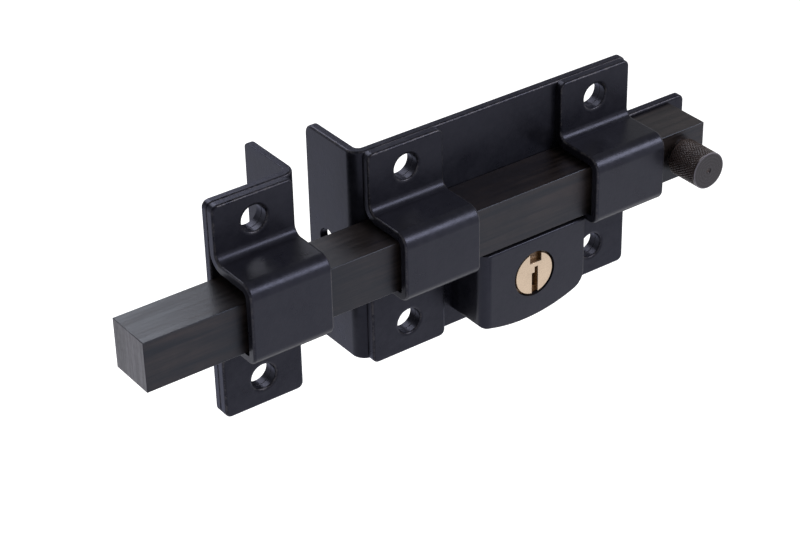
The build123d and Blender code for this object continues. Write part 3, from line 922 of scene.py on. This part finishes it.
def paint():
    """Satin blue-black paint, cloudy and with a fine grain, rubbed off along the sheets' rims.

    It shines less near the door, where the coat is thin, and is duller edge-on.
    """
    look, where = bpy.context.scene.lock_finishes, bpy.context.scene.lock_finish_places
    made = Material("satin_paint", 0.0, 0.3)
    cloud = made.group(mottle_group(), Patch_scale=90.0, Grain_scale=420.0, Grain_share=0.4)
    grain = made.group(mottle_group(), Patch_scale=420.0, Grain_scale=1700.0, Grain_share=0.5)
    coat = made.blend(cloud, look.paint, look.paint_worn)
    chips = made.ramp(made.maths("MULTIPLY", made.mask("wear"), grain), 0.2, 0.75)
    made.feed("Base Color", made.blend(chips, coat, look.rubbed))
    edge_on = made.ramp(made.facing(), 0.6, 0.9, high=0.65)
    made.feed("Roughness", made.maths("ADD", made.between(cloud, 0.25, 0.42), edge_on))
    thin = made.ramp(made.coordinate(1), -where.thin_from, -where.thin_to, high=0.35)
    thin = made.maths("MULTIPLY", thin, made.between(cloud, 1.2, 0.8))
    cut_edge = made.maths("MULTIPLY", made.mask("cut"), 0.12)
    made.feed("Metallic", made.maths("ADD", thin, cut_edge))
    made.relief(grain, 0.026 * MM, 0.8)
    made.shine(look.paint_shine, 1.38)
    return made.material


def oxide():
    """Blackened bar steel, drawn lengthwise, rubbed lighter in streaks and sawn at its ends."""
    look, where = bpy.context.scene.lock_finishes, bpy.context.scene.lock_finish_places
    low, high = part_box("bar")
    made = Material("oxide_steel", 0.0, 0.36)
    long_streaks = made.group(streaks_group(), Stretch=(26.0, 520.0, 520.0), Sharpness=0.14)
    fine_streaks = made.group(streaks_group(), Stretch=(40.0, 2600.0, 2600.0), Sharpness=0.25)
    patches = made.group(mottle_group(), Patch_scale=32.0, Grain_scale=300.0, Grain_share=0.2)
    rubbed = made.maths("MULTIPLY", long_streaks, patches)
    drawn = made.blend(rubbed, look.oxide, look.oxide_light)
    saw = made.group(streaks_group(), Stretch=(60.0, 700.0, 40.0), Sharpness=0.15)
    from_middle = made.maths("SUBTRACT", made.coordinate(0), (low.x + high.x) / 2)
    end_start = (high.x - low.x) / 2 - where.end_depth
    at_end = made.maths("GREATER_THAN", made.maths("ABSOLUTE", from_middle), end_start)
    sawn = made.blend(saw, dimmed(look.sawn, 0.35), look.sawn)
    made.feed("Base Color", made.blend(at_end, drawn, sawn))
    made.feed("Roughness", made.between(long_streaks, 0.32, 0.44))
    drawn_height = made.maths("MULTIPLY", fine_streaks, made.maths("SUBTRACT", 1.0, at_end))
    sawn_height = made.maths("MULTIPLY", made.maths("MULTIPLY", saw, at_end), 4.0)
    made.relief(made.maths("ADD", drawn_height, sawn_height), 0.008 * MM, 0.7)
    made.shine(look.oxide_shine, 1.415)
    return made.material


def knob_oxide():
    """Blackened steel of the knob: brown in the knurling, turned in rings on its face, with a
    painted highlight round the face's edge.
    """
    look, where = bpy.context.scene.lock_finishes, bpy.context.scene.lock_finish_places
    low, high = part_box("knob")
    made = Material("knob_steel", 0.0, 0.34)
    grain = made.group(mottle_group(), Patch_scale=300.0, Grain_scale=1800.0, Grain_share=0.5)
    from_axis = made.new("ShaderNodeMapping", Vector=made.place, Scale=(1, 0, 1),
                         Location=(-(low.x + high.x) / 2, 0, -(low.z + high.z) / 2))
    flat = from_axis.outputs["Vector"]
    turned = made.new("ShaderNodeTexWave", Vector=flat, Scale=260, Distortion=1.5, Detail=2,
                      Detail_Scale=3)
    turned.wave_type = "RINGS"
    turned.rings_direction = "SPHERICAL"
    rings = turned.outputs["Fac"]
    away = made.nodes.new("ShaderNodeVectorMath")
    away.operation = "LENGTH"
    made.put(flat, away.inputs[0])
    radius = (high.x - low.x) / 2
    # Painted highlight: a light ring round the face's edge, in a share of the sawn steel colour
    rim = made.ramp(away.outputs["Value"], radius - where.highlight_rim_from, radius - where.highlight_rim_to)
    on_face = made.maths("LESS_THAN", made.coordinate(1), low.y + where.face_depth)
    body = made.blend(grain, look.knurl, look.knurl_light)
    turning = made.blend(made.between(rings, 0.2, 0.6), look.oxide, dimmed(look.sawn, 0.2))
    face = made.blend(rim, turning, dimmed(look.sawn, 0.7))
    made.feed("Base Color", made.blend(on_face, body, face))
    made.feed("Roughness", made.between(grain, 0.2, 0.3))
    on_rings = made.maths("MULTIPLY", rings, on_face)
    made.relief(made.maths("ADD", made.maths("MULTIPLY", grain, 0.5), on_rings), 0.012 * MM, 0.6)
    made.shine(look.knurl_shine, 1.42)
    return made.material


def brass():
    """Pale brass, faced with fine lines and dark brown behind its face, partly tarnish and partly
    painted shade.

    Painted shade makes the notch above the keyway darker still.
    """
    look, where = bpy.context.scene.lock_finishes, bpy.context.scene.lock_finish_places
    made = Material("plug_brass", 1.0, 0.27)
    lines = made.group(streaks_group(), Stretch=(500.0, 60.0, 2200.0), Sharpness=0.2)
    cloud = made.group(mottle_group(), Patch_scale=180.0, Grain_scale=1500.0, Grain_share=0.35)
    clean = made.blend(cloud, dimmed(look.brass, 0.85), look.brass)
    low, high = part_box("key_plug")
    # Behind the face the brass is drawn dark: partly tarnish, partly painted shade of the keyway
    # and notch
    deep = made.ramp(made.coordinate(1), low.y + where.deep_from, low.y + where.deep_to)
    middle = (low.z + high.z) / 2
    # Painted shade: the notch above the keyway is drawn darker still
    notch_shade = made.ramp(made.coordinate(2), middle + where.notch_from, middle + where.notch_to)
    dark = made.blend(notch_shade, look.brass_tarnish_and_shade, dimmed(look.brass_tarnish_and_shade, 0.55))
    made.feed("Base Color", made.blend(deep, clean, dark))
    made.feed("Metallic", made.between(deep, 1.0, 0.2))
    made.feed("Roughness", made.between(lines, 0.2, 0.36))
    made.relief(lines, 0.004 * MM, 0.5)
    return made.material


def metal(name, base, stretch):
    """A bare metal with fine lines and small changes of colour."""
    made = Material(name, 1.0, 0.3)
    lines = made.group(streaks_group(), Stretch=stretch, Sharpness=0.2)
    cloud = made.group(mottle_group(), Patch_scale=180.0, Grain_scale=1500.0, Grain_share=0.35)
    made.feed("Base Color", made.blend(cloud, dimmed(base, 0.82), base))
    made.feed("Roughness", made.between(lines, 0.23, 0.39))
    made.relief(lines, 0.004 * MM, 0.5)
    return made.material


def housing_brass():
    """Brass of the inner parts, with lines along them."""
    return metal("housing_brass", bpy.context.scene.lock_finishes.brass, (500.0, 60.0, 2200.0))


def turned_steel():
    """Bright steel of the inner parts, with lines round them."""
    return metal("turned_steel", bpy.context.scene.lock_finishes.steel, (900.0, 900.0, 60.0))


MATERIALS = {
    "satin_paint": paint,
    "oxide_steel": oxide,
    "knob_steel": knob_oxide,
    "plug_brass": brass,
    "housing_brass": housing_brass,
    "turned_steel": turned_steel,
}


def finish(name):
    """The material of a finish, made once."""
    if name in bpy.data.materials:
        return bpy.data.materials[name]
    return MATERIALS[name]()


def dress(piece, look, node):
    """Gives a new piece its finish and the place of the CAD node that it stands for."""
    piece.data.materials.clear()
    piece.data.materials.append(finish(look))
    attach(piece, body_of(node))
    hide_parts(node)


def body_of(node):
    """The body that a CAD node belongs to."""
    for body, nodes in frame["record"]["behaviour"]["bodies"].items():
        if node in nodes:
            return body
    raise RuntimeError(f"no body holds {node}")


# One operator for each piece or group of like pieces
class LOCK_OT_sheets(bpy.types.Operator):
    """Makes the two plates and the three straps"""

    bl_idname = "lock.sheets"
    bl_label = "Bent sheets"

    def execute(self, context):
        sizes = context.scene.lock_sheets
        lock_room = (sizes.room_above, sizes.room_below)
        keeper_room = (sizes.keeper_room_above, sizes.keeper_room_below)
        rooms = {"left_strap": lock_room, "right_strap": lock_room, "keeper_strap": keeper_room}
        made = {"base_plate": base_sheet(), "keeper_plate": keeper_sheet()}
        for node, (above, below) in rooms.items():
            made[node] = strap(node, above, below)
        for node, piece in made.items():
            dress(piece, "satin_paint", node)
        return {"FINISHED"}


class LOCK_OT_case(bpy.types.Operator):
    """Makes the case that covers the mechanism"""

    bl_idname = "lock.case"
    bl_label = "Case"

    def execute(self, context):
        piece = merged_copy("lock_case", "case_cover")
        dress(piece, "satin_paint", "lock_case")
        return {"FINISHED"}


class LOCK_OT_bar(bpy.types.Operator):
    """Makes the square bar"""

    bl_idname = "lock.bar"
    bl_label = "Square bar"

    def execute(self, context):
        piece = merged_copy("bar", "square_bar_steel", BAR_ROUNDING)
        dress(piece, "oxide_steel", "bar")
        return {"FINISHED"}


class LOCK_OT_knob(bpy.types.Operator):
    """Makes the knurled knob"""

    bl_idname = "lock.knob"
    bl_label = "Knurled knob"

    def execute(self, context):
        dress(knurled_knob(), "knob_steel", "knob")
        return {"FINISHED"}


class LOCK_OT_plug(bpy.types.Operator):
    """Makes the brass plug that the key goes in"""

    bl_idname = "lock.plug"
    bl_label = "Key plug"

    def execute(self, context):
        piece = merged_copy("key_plug", "brass_plug", PLUG_ROUNDING)
        dress(piece, "plug_brass", "key_plug")
        return {"FINISHED"}


class LOCK_OT_dog_springs(bpy.types.Operator):
    """Makes the two springs that press the dog down, with a mesh of their own; the script does not
    shorten them as the dog lifts
    """

    bl_idname = "lock.dog_springs"
    bl_label = "Dog springs"

    def execute(self, context):
        piece = merged_copy("dog_springs", "dog_coils")
        dress(piece, "turned_steel", "dog_springs")
        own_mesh(piece)
        return {"FINISHED"}


class LOCK_OT_inner_parts(bpy.types.Operator):
    """Finishes the parts inside the case and the screws at the back"""

    bl_idname = "lock.inner_parts"
    bl_label = "Inner parts"

    def execute(self, context):
        steel = ("pin_springs", "cam", "cam_screw", "locking_dog", "case_screws",
                 "cylinder_screws")
        looks = {
            "plug_brass": ("cylinder_housing",),
            "housing_brass": ("chamber_cap", "driver_pins", "key_pins"),
            "turned_steel": steel,
        }
        for look, nodes in looks.items():
            for node in nodes:
                materials = frame["nodes"][node].data.materials
                materials.clear()
                materials.append(finish(look))
        return {"FINISHED"}


class LOCK_OT_stage(bpy.types.Operator):
    """Makes the camera, the floor, the lamps and the white surround"""

    bl_idname = "lock.stage"
    bl_label = "Stage"

    def execute(self, context):
        scene = context.scene
        scene.view_settings.view_transform = "Standard"
        set_camera(scene)
        set_surround(scene)
        set_floor(scene)
        studio = scene.lock_studio
        middle = (cad_low + cad_high) / 2
        key_place = middle + Vector(studio.key_place)
        back_place = Vector(studio.back_place)
        add_lamp("key_lamp", key_place, middle, studio.key_size, studio.key_lamp)
        add_lamp("back_lamp", back_place, middle, studio.back_size, studio.back_lamp)
        return {"FINISHED"}


def set_camera(scene):
    """The camera at the photograph's place: turned about Z, tipped down, then rolled."""
    studio = scene.lock_studio
    camera = bpy.data.objects.new("camera", bpy.data.cameras.new("camera"))
    scene.collection.objects.link(camera)
    camera.data.sensor_width = 36
    camera.data.lens = studio.lens
    camera.data.clip_start = 0.01
    camera.data.clip_end = 20
    turn = Matrix.Rotation(-studio.azimuth, 4, "Z")
    tip = Matrix.Rotation(pi / 2 - studio.elevation, 4, "X")
    roll = Matrix.Rotation(studio.roll, 4, "Z")
    camera.matrix_world = Matrix.Translation(studio.camera) @ turn @ tip @ roll
    scene.camera = camera


def set_surround(scene):
    """A white surround near the floor that fades to a dim one overhead."""
    fade_start, fade_end = 0.05, 0.42
    world = bpy.data.worlds.new("surround")
    scene.world = world
    world.use_nodes = True
    tree = Tree(world.node_tree)
    looked_at = tree.new("ShaderNodeTexCoord").outputs["Generated"]
    height = tree.new("ShaderNodeSeparateXYZ", Vector=looked_at).outputs[2]
    upper = scene.lock_studio.upper_surround
    tree.set(tree.nodes["Background"], Color=(1, 1, 1, 1),
             Strength=tree.ramp(height, fade_start, fade_end, 1.0, upper))


def set_floor(scene):
    """A plain pale floor well below the lock, which hangs on its door, seen as white."""
    studio, look = scene.lock_studio, scene.lock_finishes
    level = cad_low.z - studio.floor_drop
    half = studio.floor_half
    points = np.array([[-half, -half, level], [half, -half, level],
                       [half, half, level], [-half, half, level]])
    floor = finished_object("floor", points, np.array([[0, 1, 2], [0, 2, 3]]))
    material = bpy.data.materials.new("pale_floor")
    material.use_nodes = True
    tree = Tree(material.node_tree)
    path = tree.new("ShaderNodeLightPath")
    seen = tree.maths("MULTIPLY", path.outputs["Is Camera Ray"], studio.floor_seen)
    mirrored = tree.maths("MULTIPLY", path.outputs["Is Glossy Ray"], studio.floor_mirrored)
    tree.set(tree.nodes["Principled BSDF"], Base_Color=(*look.floor, 1), Roughness=0.8,
             Emission_Color=(1, 1, 1, 1), Emission_Strength=tree.maths("ADD", seen, mirrored))
    floor.data.materials.append(material)


def add_lamp(name, place, target, size, power):
    """A soft oblong lamp that looks at the lock."""
    lamp = bpy.data.objects.new(name, bpy.data.lights.new(name, "AREA"))
    bpy.context.scene.collection.objects.link(lamp)
    lamp.data.shape = "RECTANGLE"
    lamp.data.size, lamp.data.size_y = size
    lamp.data.spread = pi
    lamp.data.energy = power
    lamp.location = place
    lamp.rotation_euler = (target - place).to_track_quat("-Z", "Y").to_euler()


OPERATORS = (
    LOCK_OT_sheets,
    LOCK_OT_case,
    LOCK_OT_bar,
    LOCK_OT_knob,
    LOCK_OT_plug,
    LOCK_OT_dog_springs,
    LOCK_OT_inner_parts,
    LOCK_OT_stage,
)


class LOCK_PT_panel(bpy.types.Panel):
    """Lists the steps that dress the lock"""

    bl_idname = "LOCK_PT_panel"
    bl_label = "Bar lock"
    bl_space_type = "VIEW_3D"
    bl_region_type = "UI"
    bl_category = "Bar lock"

    def draw(self, context):
        for operator in OPERATORS:
            self.layout.operator(operator.bl_idname)


GROUPS = {
    "lock_sheets": SheetSizes,
    "lock_knob": KnobSizes,
    "lock_finishes": Finishes,
    "lock_finish_places": FinishPlaces,
    "lock_studio": StudioSizes,
}


def register():
    """Adds the groups of sizes, the operators and the panel to Blender."""
    for name, group in GROUPS.items():
        bpy.utils.register_class(group)
        setattr(bpy.types.Scene, name, PointerProperty(type=group))
    for operator in OPERATORS:
        bpy.utils.register_class(operator)
    bpy.utils.register_class(LOCK_PT_panel)


def unregister():
    """Takes them out again."""
    bpy.utils.unregister_class(LOCK_PT_panel)
    for operator in reversed(OPERATORS):
        bpy.utils.unregister_class(operator)
    for name, group in GROUPS.items():
        delattr(bpy.types.Scene, name)
        bpy.utils.unregister_class(group)


def main():
    register()
    bpy.ops.lock.stage()
    bpy.ops.lock.sheets()
    bpy.ops.lock.case()
    bpy.ops.lock.bar()
    bpy.ops.lock.knob()
    bpy.ops.lock.plug()
    bpy.ops.lock.dog_springs()
    bpy.ops.lock.inner_parts()


if __name__ == "__main__":
    main()
